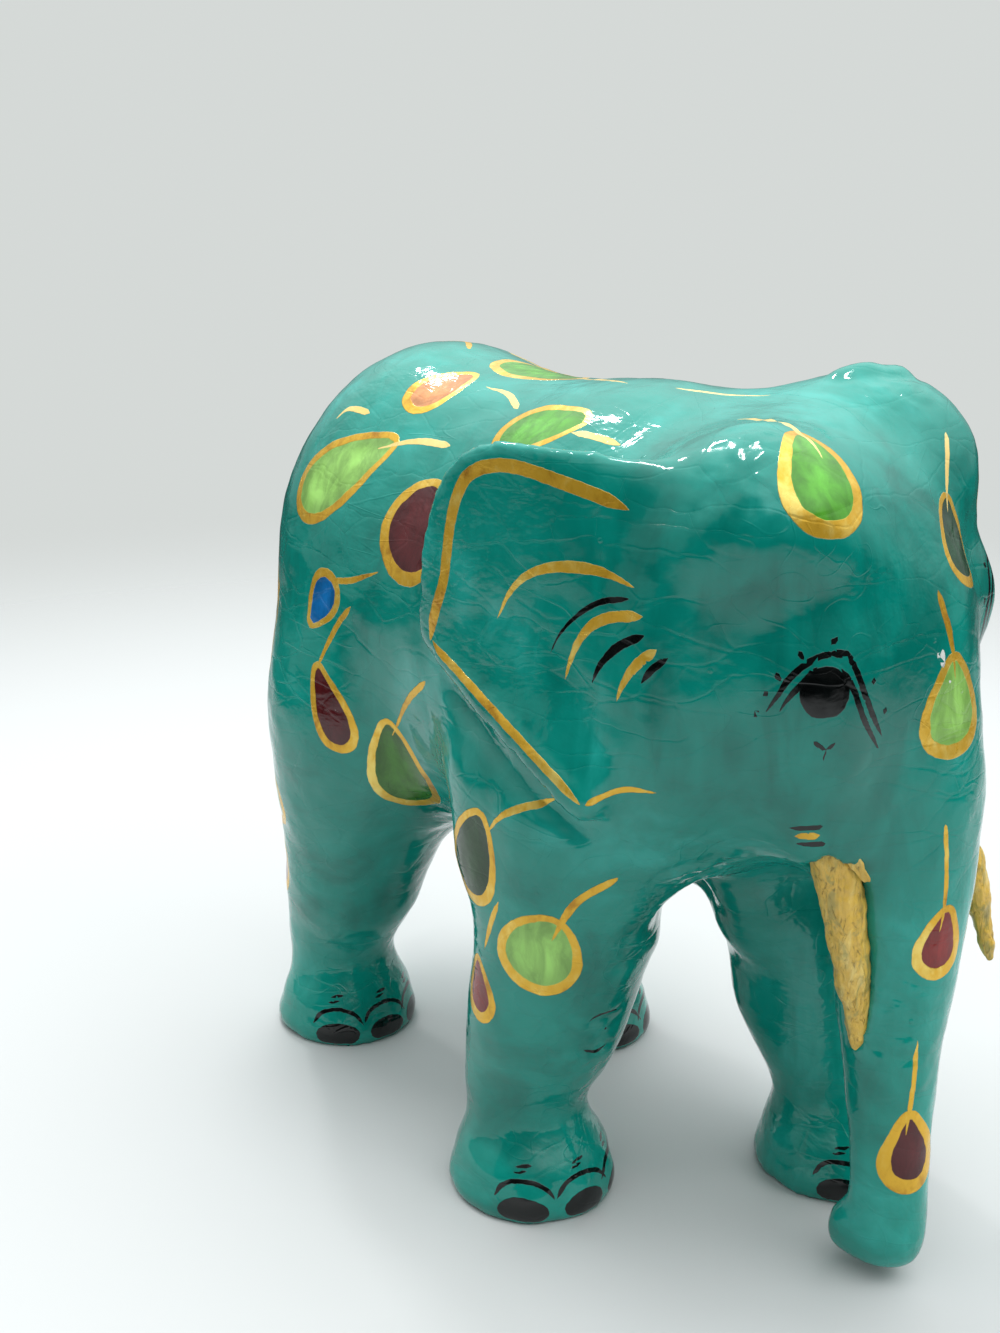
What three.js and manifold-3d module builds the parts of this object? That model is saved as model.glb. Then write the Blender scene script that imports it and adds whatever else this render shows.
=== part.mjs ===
// Papier-mache elephant, caught in mid-stride, with its head turned to its left and its
// trunk hanging almost to the ground. Millimetres, +Z up. It faces -Y, so its own right
// side is -X. The origin is on the ground, under the middle of its box.
//
// The body is one closed form: torso, legs, head, trunk, ears and tail. Torso, legs, head
// and trunk are a field of rounded limbs and bulges that melt into each other, and a net
// of cells is laid over that field. The thin ears and the tail are lofted and joined on.
// The two tusks are pieces of their own, set in sockets under the cheeks.

import * as THREE from "three";
import { mergeVertices } from "three/addons/utils/BufferGeometryUtils.js";
import Module from "manifold-3d";

const wasm = await Module();
wasm.setup();

// Places are written as right, ahead, up: to the animal's right, forwards, upwards.
const at = (right, ahead, up) => new THREE.Vector3(-right, -ahead, up);

// ---------------------------------------------------------------- driving sizes
// A bulge is a centre with its half width, half length and half height.
// A limb is two centres, each with a radius.
const RUMP = { centre: at(0, -116, 306), half: [106, 98, 134] };
const BARREL = { centre: at(0, -10, 296), half: [102, 140, 134] };
const SHOULDERS = { centre: at(0, 74, 302), half: [92, 88, 126] };

const NECK = at(0, 118, 320);         // the head turns about this point
const NECK_BACK = { centre: at(0, 90, 332), radius: 86 };
const NECK_RADIUS = 84;
const THROAT_RIGHT = [at(26, 118, 300), 54, at(22, 124, 262), 44];
const THROAT_LEFT = [at(-26, 108, 300), 54, at(-22, 114, 262), 44];
const JOWL_RIGHT = [at(62, 160, 378), 27, at(64, 158, 284), 28];
const JOWL_LEFT = [at(-62, 146, 384), 27, at(-64, 140, 294), 28];

const LEGS = [
  { hip: at(58, 90, 228), hipRadius: 58, foot: at(73, 61, 0), footRadius: 42 },
  { hip: at(-58, 114, 235), hipRadius: 54, foot: at(-76, 149, 0), footRadius: 41 },
  { hip: at(54, -114, 225), hipRadius: 68, foot: at(57, -160, 0), footRadius: 41 },
  { hip: at(-54, -92, 225), hipRadius: 68, foot: at(-60, -60, 0), footRadius: 41 },
];
const KNEE = { up: 105, along: 0.62, back: 4, radius: 40 };
const ANKLE = { up: 62, back: 4, radius: 34 };
const FOOT = { up: 14, halfHeight: 40 };
const TOES = { up: 14, ahead: 7, halfHeight: 26, smaller: 3 };

// From here to the trunk's tip, places are measured from the neck point, in the head's
// own directions.
const HEAD_TURN = 18;                 // degrees, to the animal's left
const HEAD_TILT = 5;                  // degrees, its right side down
const FACE_BULGES = [
  { centre: at(0, 50, 20), half: [80, 72, 92] },        // skull
  { centre: at(54, 50, 71), half: [43, 49, 47] },       // right dome
  { centre: at(-56, 57, 73), half: [46, 52, 50] },      // left dome
  { centre: at(58, 82, 6), half: [27, 27, 32] },        // right brow
  { centre: at(-71, 87, 10), half: [29, 29, 34] },      // left brow
  { centre: at(0, 44, -42), half: [62, 58, 52] },       // jaw
];
const CHEEKS = [1, -1].map((s) => [at(s * 50, 74, -25), 32, at(s * 43, 85, -72), 22]);
const TRUNK = {
  points: [at(0, 76, 10), at(0, 95, -60), at(9, 105, -130), at(27, 111, -200),
    at(36, 117, -262), at(40, 118, -295)],
  radii: [50, 44, 33.5, 23.5, 19, 17.5],
  links: 14,
};
const TRUNK_TIP = [at(40, 116, -294), 17.5, at(45, 94, -300), 12];
const TUSK_RIGHT = [at(51, 84, -66), at(48, 92, -104), at(46, 98, -146), at(41, 103, -198)];
const TUSK_LEFT = [at(-46, 86, -66), at(-55, 100, -98), at(-63, 112, -132), at(-67, 127, -184)];
const TUSK = { radii: [11.5, 12, 10.5, 7.5, 2.5], rings: 9, sides: 10 };
const SOCKET_GAP = 0.4;               // between a tusk's root and its socket

// The ear is drawn flat, as ahead and up from its top front corner, where it grows out
// of the neck.
const EAR_OUTLINE = [
  [0, -16], [-20, -2], [-62, 1], [-98, 0], [-122, -11], [-138, -38], [-147, -78],
  [-149, -104], [-141, -110], [-91, -137], [-55, -160], [-42, -174], [-29, -154], [-8, -80],
];
const EAR_MIDDLE = new THREE.Vector3(-78, -80, 0);
const EAR = {
  reach: 149,                         // from its root to its free edge
  out: 66,                            // its root's distance from the middle plane
  flare: 59,                          // how much further out the free edge stands
  flarePower: 0.75,
  thick: 6,
  rootThick: 30,
  rootLength: 68,                     // where it has thinned to its own thickness
  skin: 3,                            // its outer face, beyond its drawn surface
  lift: { from: -105, to: -165, out: 13 },     // its lower edge stands off the shoulder
  rings: [0.4, 0.75, 1],
  rimPoints: 36,
};
const EAR_CORNERS = [[1, 186, 421], [-1, 188, 434]];    // side, ahead, up

const TAIL = {
  points: [at(0, -194, 376), at(0, -217, 332), at(2, -225, 282), at(5, -217, 226),
    at(8, -206, 176)],
  radii: [9, 7.5, 6.5, 7, 10, 4],
  rings: 10,
  sides: 8,
};

// How softly the pieces of each kind run together.
const BLEND = { body: 46, leg: 34, foot: 12, face: 22 };

// The feet are cut flat on this block.
const GROUND = { across: 900, deep: 100 };

// Grid lines for the net: each stop with the spacing that follows it.
const GRID_X = [[-152, 14.6], [154]];
const GRID_Y = [[-290, 13], [-110, 16.8], [250]];
const GRID_Z = [[-45, 14.4], [480]];

// ---------------------------------------------------------------- field pieces
// A limb: a cone with round ends between two points.
function limb(a, ra, b, rb) {
  const axis = b.clone().sub(a);
  const l2 = axis.lengthSq();
  const rr = ra - rb;
  const a2 = l2 - rr * rr;
  return (p) => {
    const px = p.x - a.x;
    const py = p.y - a.y;
    const pz = p.z - a.z;
    const y = px * axis.x + py * axis.y + pz * axis.z;
    const z = y - l2;
    const dx = px * l2 - axis.x * y;
    const dy = py * l2 - axis.y * y;
    const dz = pz * l2 - axis.z * y;
    const x2 = dx * dx + dy * dy + dz * dz;
    const k = Math.sign(rr) * rr * rr * x2;
    if (Math.sign(z) * a2 * z * z * l2 > k) return Math.sqrt(x2 + z * z * l2) / l2 - rb;
    if (Math.sign(y) * a2 * y * y * l2 < k) return Math.sqrt(x2 + y * y * l2) / l2 - ra;
    return (Math.sqrt((x2 * a2) / l2) + y * rr) / l2 - ra;
  };
}

// A bulge: an ellipsoid.
function bulge({ centre, half: [side, ahead, up] }) {
  return (p) => {
    const x = (p.x - centre.x) / side;
    const y = (p.y - centre.y) / ahead;
    const z = (p.z - centre.z) / up;
    const inside = Math.hypot(x, y, z);
    const slope = Math.hypot(x / side, y / ahead, z / up);
    return slope < 1e-9 ? -Math.min(side, ahead, up) : (inside * (inside - 1)) / slope;
  };
}

// The least of some distances, rounded off where two of them are within k.
const soften = (k, first, ...others) => others.reduce((d, e) => {
  const h = Math.max(k - Math.abs(d - e), 0) / k;
  return Math.min(d, e) - (h * h * k) / 4;
}, first);

// Pieces that melt together over the distance k, and pieces that simply meet.
const melt = (k, pieces) => (p) => soften(k, ...pieces.map((piece) => piece(p)));
const join = (pieces) => (p) => Math.min(...pieces.map((piece) => piece(p)));

// The value at t, from 0 to 1, along an evenly spaced list.
function along(list, t) {
  const f = t * (list.length - 1);
  const i = Math.min(Math.floor(f), list.length - 2);
  return THREE.MathUtils.lerp(list[i], list[i + 1], f - i);
}

// A chain of limbs along a smooth curve.
function chain({ points, radii, links }) {
  const curve = new THREE.CatmullRomCurve3(points, false, "centripetal");
  return Array.from({ length: links }, (_, i) => {
    const [from, to] = [i / links, (i + 1) / links];
    return limb(curve.getPoint(from), along(radii, from), curve.getPoint(to), along(radii, to));
  });
}

// ---------------------------------------------------------------- the body field
const torso = melt(BLEND.body, [
  bulge(RUMP),
  bulge(BARREL),
  bulge(SHOULDERS),
  limb(NECK_BACK.centre, NECK_BACK.radius, NECK, NECK_RADIUS),
  limb(...THROAT_RIGHT),
  limb(...THROAT_LEFT),
]);

// Each leg leans from its hip to its foot, so the animal is walking.
function leg({ hip, hipRadius, foot, footRadius }) {
  const knee = hip.clone().lerp(foot, KNEE.along).add(at(0, -KNEE.back, 0)).setZ(KNEE.up);
  const ankle = foot.clone().add(at(0, -ANKLE.back, ANKLE.up));
  const ball = foot.clone().setZ(FOOT.up);
  const toes = foot.clone().add(at(0, TOES.ahead, TOES.up));
  const toeRadius = footRadius - TOES.smaller;
  return melt(BLEND.foot, [
    limb(hip, hipRadius, knee, KNEE.radius),
    limb(knee, KNEE.radius, ankle, ANKLE.radius),
    bulge({ centre: ball, half: [footRadius, footRadius, FOOT.halfHeight] }),
    bulge({ centre: toes, half: [toeRadius, toeRadius, TOES.halfHeight] }),
  ]);
}
const legs = LEGS.map(leg);

const headFrame = new THREE.Matrix4().makeTranslation(NECK.x, NECK.y, NECK.z)
  .multiply(new THREE.Matrix4().makeRotationZ(THREE.MathUtils.degToRad(HEAD_TURN)))
  .multiply(new THREE.Matrix4().makeRotationY(THREE.MathUtils.degToRad(-HEAD_TILT)));
const intoHead = headFrame.clone().invert();

const face = melt(BLEND.face, [
  ...FACE_BULGES.map(bulge),
  ...CHEEKS.map((cheek) => limb(...cheek)),
]);
const jowls = join([limb(...JOWL_RIGHT), limb(...JOWL_LEFT)]);
const trunk = join(chain(TRUNK));
const trunkTip = limb(...TRUNK_TIP);

const inHead = new THREE.Vector3();
const body = (p) => {
  inHead.copy(p).applyMatrix4(intoHead);
  const masses = soften(BLEND.leg, torso(p), ...legs.map((piece) => piece(p)));
  const front = soften(BLEND.face, face(inHead), jowls(p));
  const snout = soften(BLEND.foot, trunk(inHead), trunkTip(inHead));
  return soften(BLEND.face, soften(BLEND.body, masses, front), snout);
};

// ---------------------------------------------------------------- net over a field
// Grid lines from each stop to the next.
function gridLines(stops) {
  const lines = [stops[0][0]];
  for (let n = 0; n < stops.length - 1; n += 1) {
    const [from, spacing] = stops[n];
    const to = stops[n + 1][0];
    const count = Math.round((to - from) / spacing);
    for (let i = 1; i <= count; i += 1) lines.push(from + ((to - from) * i) / count);
  }
  return lines;
}

// One vertex in each cell that the surface crosses, one quad across each crossed edge.
function net(field, lines) {
  const [xs, ys, zs] = lines;
  const [nx, ny, nz] = lines.map((line) => line.length);
  const index = (i, j, k) => (k * ny + j) * nx + i;
  const point = (i, j, k) => new THREE.Vector3(xs[i], ys[j], zs[k]);
  const eachCell = (start, visit) => {
    for (let k = start; k < nz - 1; k += 1) {
      for (let j = start; j < ny - 1; j += 1) {
        for (let i = start; i < nx - 1; i += 1) visit(i, j, k);
      }
    }
  };
  const values = new Float64Array(nx * ny * nz);
  for (let k = 0; k < nz; k += 1) {
    for (let j = 0; j < ny; j += 1) {
      for (let i = 0; i < nx; i += 1) values[index(i, j, k)] = field(point(i, j, k));
    }
  }

  const corners = Array.from({ length: 8 }, (_, c) => [c & 1, (c >> 1) & 1, c >> 2]);
  const edges = corners.flatMap((_, m) => [1, 2, 4]
    .filter((bit) => (m & bit) === 0)
    .map((bit) => [m, m | bit]));
  const vertices = [];
  const cellVertex = new Map();
  eachCell(0, (i, j, k) => {
    const v = corners.map(([a, b, c]) => values[index(i + a, j + b, k + c)]);
    const crossings = edges.filter(([m, n]) => v[m] < 0 !== v[n] < 0).map(([m, n]) => {
      const [a, b] = [corners[m], corners[n]]
        .map((corner) => point(i + corner[0], j + corner[1], k + corner[2]));
      return a.lerp(b, v[m] / (v[m] - v[n]));
    });
    if (crossings.length === 0) return;
    const middle = crossings.reduce((sum, c) => sum.add(c), new THREE.Vector3());
    cellVertex.set(index(i, j, k), vertices.length);
    vertices.push(middle.divideScalar(crossings.length));
  });

  const quads = [];
  const steps = [[1, 0, 0], [0, 1, 0], [0, 0, 1]];
  eachCell(1, (i, j, k) => steps.forEach((d, axis) => {
    const a = values[index(i, j, k)];
    const b = values[index(i + d[0], j + d[1], k + d[2])];
    if (a < 0 === b < 0) return;
    const u = steps[(axis + 1) % 3];
    const w = steps[(axis + 2) % 3];
    const cell = (m, n) => cellVertex.get(
      index(i - m * u[0] - n * w[0], j - m * u[1] - n * w[1], k - m * u[2] - n * w[2]));
    const ring = [cell(0, 0), cell(1, 0), cell(1, 1), cell(0, 1)];
    quads.push(a < 0 ? ring : ring.reverse());
  }));
  return { vertices, quads };
}

// Vertices slide towards the middle of their neighbours and back onto the surface.
const SETTLE = { rounds: 3, keep: 0.4, probe: 0.5, steps: 3, leastSlope: 0.2 };
function settle(field, { vertices, quads }) {
  const near = vertices.map(() => new Set());
  for (const q of quads) {
    q.forEach((v, n) => near[v].add(q[(n + 1) % 4]).add(q[(n + 3) % 4]));
  }
  const slope = new THREE.Vector3();
  const probe = new THREE.Vector3();
  const ontoSurface = (p) => {
    for (let n = 0; n < SETTLE.steps; n += 1) {
      const d = field(p);
      slope.set(
        field(probe.copy(p).setX(p.x + SETTLE.probe)) - d,
        field(probe.copy(p).setY(p.y + SETTLE.probe)) - d,
        field(probe.copy(p).setZ(p.z + SETTLE.probe)) - d,
      ).divideScalar(SETTLE.probe);
      p.addScaledVector(slope, -d / Math.max(slope.lengthSq(), SETTLE.leastSlope));
    }
  };
  for (let round = 0; round < SETTLE.rounds; round += 1) {
    const moved = vertices.map((v, n) => {
      const middle = [...near[n]].reduce((sum, m) => sum.add(vertices[m]), new THREE.Vector3());
      return middle.divideScalar(near[n].size).lerp(v, SETTLE.keep);
    });
    moved.forEach((v, n) => ontoSurface(vertices[n].copy(v)));
  }
}

// ---------------------------------------------------------------- geometry helpers
function fromTriangles(vertices, triangles) {
  const g = new THREE.BufferGeometry();
  g.setAttribute("position", new THREE.Float32BufferAttribute(
    vertices.flatMap((v) => [v.x, v.y, v.z]), 3));
  g.setIndex(triangles);
  return g;
}

function netGeometry(field, lines) {
  const mesh = net(field, lines);
  settle(field, mesh);
  const { vertices, quads } = mesh;
  const triangles = quads.flatMap(([a, b, c, d]) => {
    const ac = vertices[a].distanceTo(vertices[c]);
    const bd = vertices[b].distanceTo(vertices[d]);
    return ac < bd ? [a, b, c, a, c, d] : [b, c, d, b, d, a];
  });
  return fromTriangles(vertices, triangles);
}

// A closed skin over rings of points, with a fan over each end.
function skin(rings) {
  const count = rings[0].length;
  const vertices = rings.flat();
  const triangles = [];
  for (let r = 0; r < rings.length - 1; r += 1) {
    for (let n = 0; n < count; n += 1) {
      const a = r * count + n;
      const b = r * count + ((n + 1) % count);
      triangles.push(a, b, b + count, a, b + count, a + count);
    }
  }
  const fan = (start, flip) => {
    const middle = vertices.slice(start, start + count)
      .reduce((sum, v) => sum.add(v), new THREE.Vector3());
    const centre = vertices.push(middle.divideScalar(count)) - 1;
    for (let n = 0; n < count; n += 1) {
      const a = start + n;
      const b = start + ((n + 1) % count);
      triangles.push(...(flip ? [centre, b, a] : [centre, a, b]));
    }
  };
  fan(0, true);
  fan((rings.length - 1) * count, false);
  return upright(fromTriangles(vertices, triangles));
}

// Turns a closed skin the right way out if it was wound inwards.
function upright(geometry) {
  const p = geometry.attributes.position;
  const t = geometry.index.array;
  const [a, b, c] = [0, 1, 2].map(() => new THREE.Vector3());
  let volume = 0;
  for (let n = 0; n < t.length; n += 3) {
    a.fromBufferAttribute(p, t[n]);
    b.fromBufferAttribute(p, t[n + 1]);
    c.fromBufferAttribute(p, t[n + 2]);
    volume += a.dot(b.cross(c));
  }
  if (volume < 0) {
    for (let n = 0; n < t.length; n += 3) [t[n + 1], t[n + 2]] = [t[n + 2], t[n + 1]];
  }
  return geometry;
}

// A tapered round horn along a smooth curve, thicker all over by extra.
function horn(points, { radii, rings, sides }, extra = 0) {
  const curve = new THREE.CatmullRomCurve3(points, false, "centripetal");
  const frames = curve.computeFrenetFrames(rings, false);
  const loops = frames.normals.map((normal, r) => {
    const radius = along(radii, r / rings) + extra;
    const centre = curve.getPointAt(r / rings);
    if (r === 0) centre.addScaledVector(frames.tangents[0], -extra);
    return Array.from({ length: sides }, (_, n) => {
      const turn = (n / sides) * 2 * Math.PI;
      return centre.clone()
        .addScaledVector(normal, radius * Math.cos(turn))
        .addScaledVector(frames.binormals[r], radius * Math.sin(turn));
    });
  });
  return skin(loops);
}

// An ear: its outer face swings out from the neck, and its root is thick.
function ear([side, ahead, up]) {
  const outline = new THREE.CatmullRomCurve3(
    EAR_OUTLINE.map(([a, u]) => new THREE.Vector3(a, u, 0)), true, "centripetal");
  const rim = outline.getPoints(EAR.rimPoints).slice(0, EAR.rimPoints);
  const place = (flat, outer) => {
    const back = THREE.MathUtils.clamp(-flat.x, 0, EAR.reach);
    const swing = Math.sin((back / EAR.reach) * (Math.PI / 2)) ** EAR.flarePower;
    const thin = Math.min(1, back / EAR.rootLength);
    const thick = THREE.MathUtils.lerp(EAR.rootThick, EAR.thick, thin);
    const lift = EAR.lift.out * THREE.MathUtils.smoothstep(-flat.y, -EAR.lift.from, -EAR.lift.to);
    const right = EAR.out + EAR.flare * swing + lift + EAR.skin - (outer ? 0 : thick);
    return at(side * right, ahead + flat.x, up + flat.y);
  };
  const ring = (share, outer) => rim.map((v) => place(EAR_MIDDLE.clone().lerp(v, share), outer));
  return skin([
    ...EAR.rings.map((share) => ring(share, true)),
    ...[...EAR.rings].reverse().map((share) => ring(share, false)),
  ]);
}

function solidOf(geometry) {
  const merged = mergeVertices(geometry, 1e-4);
  return new wasm.Manifold(new wasm.Mesh({
    numProp: 3,
    vertProperties: new Float32Array(merged.attributes.position.array),
    triVerts: new Uint32Array(merged.index.array),
  }));
}

function geometryOf(solid) {
  const mesh = solid.getMesh();
  const g = new THREE.BufferGeometry();
  g.setAttribute("position", new THREE.BufferAttribute(mesh.vertProperties, 3));
  g.setIndex(new THREE.BufferAttribute(mesh.triVerts, 1));
  g.computeVertexNormals();
  return g;
}

// ---------------------------------------------------------------- assemble
const tusks = [["tusk_right", TUSK_RIGHT], ["tusk_left", TUSK_LEFT]]
  .map(([name, points]) => [name, points.map((p) => p.clone().applyMatrix4(headFrame))]);

const ground = new THREE.BoxGeometry(GROUND.across, GROUND.across, GROUND.deep)
  .translate(0, 0, -GROUND.deep / 2);
ground.deleteAttribute("normal");
ground.deleteAttribute("uv");

let whole = solidOf(netGeometry(body, [GRID_X, GRID_Y, GRID_Z].map(gridLines)));
for (const corner of EAR_CORNERS) whole = whole.add(solidOf(ear(corner)));
whole = whole.add(solidOf(horn(TAIL.points, TAIL)));
whole = whole.subtract(solidOf(ground));
for (const [, points] of tusks) whole = whole.subtract(solidOf(horn(points, TUSK, SOCKET_GAP)));

const paint = new THREE.MeshStandardMaterial({ color: 0x1f8f7c, roughness: 0.3, metalness: 0 });
const ivory = new THREE.MeshStandardMaterial({ color: 0xe3b63a, roughness: 0.45, metalness: 0 });
const group = new THREE.Group();
function show(name, solid, material) {
  const mesh = new THREE.Mesh(geometryOf(solid), material);
  mesh.name = name;
  group.add(mesh);
}
show("body", whole, paint);
for (const [name, points] of tusks) show(name, solidOf(horn(points, TUSK)), ivory.clone());

const middle = new THREE.Box3().setFromObject(group).getCenter(new THREE.Vector3());
group.position.set(-middle.x, -middle.y, 0);

export default group;
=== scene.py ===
import math

import bpy
import numpy as np
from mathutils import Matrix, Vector
from mathutils.bvhtree import BVHTree
from mathutils.kdtree import KDTree


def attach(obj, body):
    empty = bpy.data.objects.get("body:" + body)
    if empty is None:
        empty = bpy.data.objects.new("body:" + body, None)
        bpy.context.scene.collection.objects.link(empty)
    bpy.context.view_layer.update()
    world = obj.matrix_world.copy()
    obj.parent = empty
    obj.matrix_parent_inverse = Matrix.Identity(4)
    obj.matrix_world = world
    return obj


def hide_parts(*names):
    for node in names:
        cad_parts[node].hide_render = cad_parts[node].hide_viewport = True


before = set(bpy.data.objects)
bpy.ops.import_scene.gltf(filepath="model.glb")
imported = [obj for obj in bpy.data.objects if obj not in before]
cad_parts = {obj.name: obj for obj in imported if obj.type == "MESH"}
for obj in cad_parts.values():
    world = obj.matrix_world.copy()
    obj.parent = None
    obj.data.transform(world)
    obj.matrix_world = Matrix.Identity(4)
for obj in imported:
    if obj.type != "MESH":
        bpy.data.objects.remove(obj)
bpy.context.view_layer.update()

# Papier-mache elephant. It faces -Y, its own right side is -X, and the ground is Z = 0.
# Its places and sizes are written in millimetres; the floor's, lights' and camera's in metres.
MM = 0.001

# ---------------------------------------------------------------- paints, linear colours
TEAL_DEEP = (0.0010, 0.160, 0.125)
TEAL = (0.0020, 0.250, 0.198)
TEAL_PALE = (0.020, 0.400, 0.340)
GOLD_DARK = (0.420, 0.190, 0.012)
GOLD = (0.740, 0.430, 0.035)
GOLD_PALE = (0.900, 0.680, 0.170)
# Gold with a painted highlight, for the gold stems that lie on the lit top of the head and back.
GOLD_HIGHLIGHT = (0.950, 0.830, 0.400)
BLACK = (0.002, 0.003, 0.003)
CHALK = (0.740, 0.760, 0.720)
GREEN = (0.085, 0.340, 0.022)
LIME = (0.270, 0.530, 0.115)
BOTTLE = (0.004, 0.045, 0.006)
MOSS = (0.038, 0.155, 0.010)
PINE = (0.010, 0.060, 0.022)
RED = (0.230, 0.020, 0.018)
MAROON = (0.085, 0.008, 0.010)
SALMON = (0.640, 0.250, 0.080)
BLUE = (0.008, 0.150, 0.420)
TUSK_DARK = (0.34, 0.21, 0.030)
TUSK_YELLOW = (0.76, 0.48, 0.070)
TUSK_PALE = (0.88, 0.66, 0.20)
# Greenish grey painted shade, laid on the tusks in patches.
TUSK_PAINTED_SHADE = (0.30, 0.28, 0.085)
# Brown painted shade for the tusks' creases.
TUSK_CREASE_SHADE = (0.26, 0.135, 0.020)
FLOOR = (0.530, 0.535, 0.533)
WALL = (0.665, 0.695, 0.680)
ROOM_LIGHT = (0.80, 0.84, 0.85)


# ---------------------------------------------------------------- making pieces
def only(piece):
    bpy.ops.object.select_all(action="DESELECT")
    piece.select_set(True)
    bpy.context.view_layer.objects.active = piece


def finish_with(piece, kind, **values):
    only(piece)
    modifier = piece.modifiers.new(kind.title(), kind)
    for name, value in values.items():
        setattr(modifier, name, value)
    bpy.ops.object.modifier_apply(modifier=modifier.name)


def merged_copy(node, name):
    piece = bpy.data.objects.new(name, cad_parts[node].data.copy())
    bpy.context.scene.collection.objects.link(piece)
    only(piece)
    bpy.ops.object.mode_set(mode="EDIT")
    bpy.ops.mesh.select_all(action="SELECT")
    bpy.ops.mesh.remove_doubles(threshold=0.01 * MM)
    bpy.ops.mesh.tris_convert_to_quads(
        face_threshold=math.radians(40), shape_threshold=math.radians(40))
    bpy.ops.object.mode_set(mode="OBJECT")
    return piece


def join(pieces, name):
    only(pieces[0])
    for piece in pieces:
        piece.select_set(True)
    bpy.ops.object.join()
    pieces[0].name = name
    return pieces[0]


def cloud(name, size, depth=2):
    texture = bpy.data.textures.new(name, "CLOUDS")
    texture.noise_scale = size * MM
    texture.noise_depth = depth
    texture.cloud_type = "GRAYSCALE"
    return texture


def read(items, name, wide=1, kind=float):
    """Each item's value, or its row of wide values."""
    out = np.empty(len(items) * wide, kind)
    items.foreach_get(name, out)
    return out.reshape(-1, wide) if wide > 1 else out


def places(piece):
    return read(piece.data.vertices, "co", 3) / MM


def put_places(piece, points):
    piece.data.vertices.foreach_set("co", (points * MM).ravel())
    piece.data.update()


def normals(piece):
    return read(piece.data.vertex_normals, "vector", 3)


def weigh(piece, name, weights, count=20):
    """A vertex group from one weight per vertex, rounded to count steps."""
    group = piece.vertex_groups.new(name=name)
    steps = np.clip(np.rint(weights * count), 0, count).astype(int)
    for step in range(1, count + 1):
        group.add(np.flatnonzero(steps == step).tolist(), step / count, "REPLACE")
    return name


def near_line(points, line, reach):
    """1 on a line through places, falling to 0 at reach. The 0.01 gives a lone place a length."""
    best = np.full(len(points), np.inf)
    for a, b in zip(line, line[1:] or line):
        a, b = np.array(a, float), np.array(b, float) + 0.01
        share = np.clip((points - a) @ (b - a) / ((b - a) @ (b - a)), 0, 1)
        best = np.minimum(best, np.linalg.norm(points - a - share[:, None] * (b - a), axis=1))
    return np.clip(1 - best / reach, 0, 1)


def swell(piece, line, reach, rise):
    """Presses the skin out along a line, or in where rise is below nothing."""
    points = places(piece)
    share = near_line(points, line, reach)
    share = share ** 2 * (3 - 2 * share)
    points += normals(piece) * (share * rise)[:, None]
    put_places(piece, points)


# ---------------------------------------------------------------- body
SKIN_STEP = 2.5                 # how fine the skin's net is
SKIN_SMOOTHING = 7              # rounds, which take SHRINK off
SHRINK = 1.0
THINNED = 0.67                  # share of the skin's triangles that is kept
LUMP_RISE, DENT_RISE, CRINKLE_RISE = 2.4, 1.0, 1.9
# Where the ears grow out of the head: a line down each root, how far it is smoothed
# and in how many rounds.
EAR_ROOTS = [
    ([(-84, -162, 412), (-92, -160, 385), (-96, -158, 345), (-97, -158, 322)], 38, 150),
    ([(84, -160, 425), (92, -158, 398), (96, -156, 358), (97, -156, 335)], 38, 150),
    ([(-97, -158, 322), (-94, -160, 290), (-90, -160, 266)], 19, 70),
    ([(97, -156, 335), (94, -158, 303), (90, -158, 279)], 19, 70),
]
# Soft forms worked on the skin: a line, how far each reaches from it, and its height.
FORMS = [
    ([(-66, -207, 369), (-71, -198, 363)], 40, -3.5),               # right temple
    ([(60, -214, 381), (66, -204, 376)], 36, -2.5),                 # left temple
    ([(-60, -214, 388), (-36, -226, 384), (-10, -228, 376)], 26, 2.0),   # brow
    ([(27, -124, 103), (30, -116, 130)], 44, -5.0),                 # inside the left front leg
    ([(-103, -30, 236), (-103, -34, 204)], 46, 9.0),                # back of the right front leg
    ([(48, -138, 446), (72, -150, 441)], 12, 4.0),                  # fold at the left ear's top
    ([(-32, -114, 184), (-12, -108, 175), (0, -98, 168)], 30, -12.0),   # between the front legs
    ([(15, -118, 172), (20, -114, 148)], 36, 9.0),                  # top of the left front leg
    ([(-102, -88, 12)], 17, 3.0),                                   # toes of the front feet
    ([(-71, -96, 12)], 15, 2.5),
    ([(-47, -88, 14)], 14, 2.5),
    ([(47, -176, 12)], 16, 3.0),
    ([(78, -186, 12)], 16, 3.0),
    ([(105, -176, 12)], 16, 3.0),
]
# The ears' edges: a raised rim, a lip along the lower edge and a hollow under it.
RIM = [(-112, -128, 420), (-119, -86, 421), (-124, -60, 410), (-128, -40, 385), (-128, -32, 350)]
LIP = [(-127, -48, 313), (-121, -102, 283), (-115, -126, 267), (-110, -138, 256)]
UNDER = [(-103, -20, 283), (-108, -71, 264), (-106, -103, 249), (-100, -124, 238)]


LEFT_EAR_AHEAD, LEFT_EAR_UP = 2, 13     # where the left ear sits, against a mirrored right one


def across(line):
    """A right ear's line on the left ear."""
    return [(-x, y - LEFT_EAR_AHEAD, z + LEFT_EAR_UP) for x, y, z in line]


for line, reach, rise in [(RIM, 9, 1.4), (across(RIM), 9, 1.4), (LIP, 9, 2.2),
                          (across(LIP), 9, 2.2), (UNDER, 11, -3.5)]:
    FORMS.append((line, reach, rise))
# The whole edge of the right ear, which is smoothed last so that it isn't frayed.
EDGE = [(-90, -148, 410), (-93, -133, 418), (-98, -124, 421), (-106, -110, 421), (-114, -94, 421),
        (-118, -84, 420), (-120, -68, 417)] + RIM[2:] + LIP
EAR_EDGES = [(EDGE, 10, 3), (across(EDGE), 10, 3)]
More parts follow.
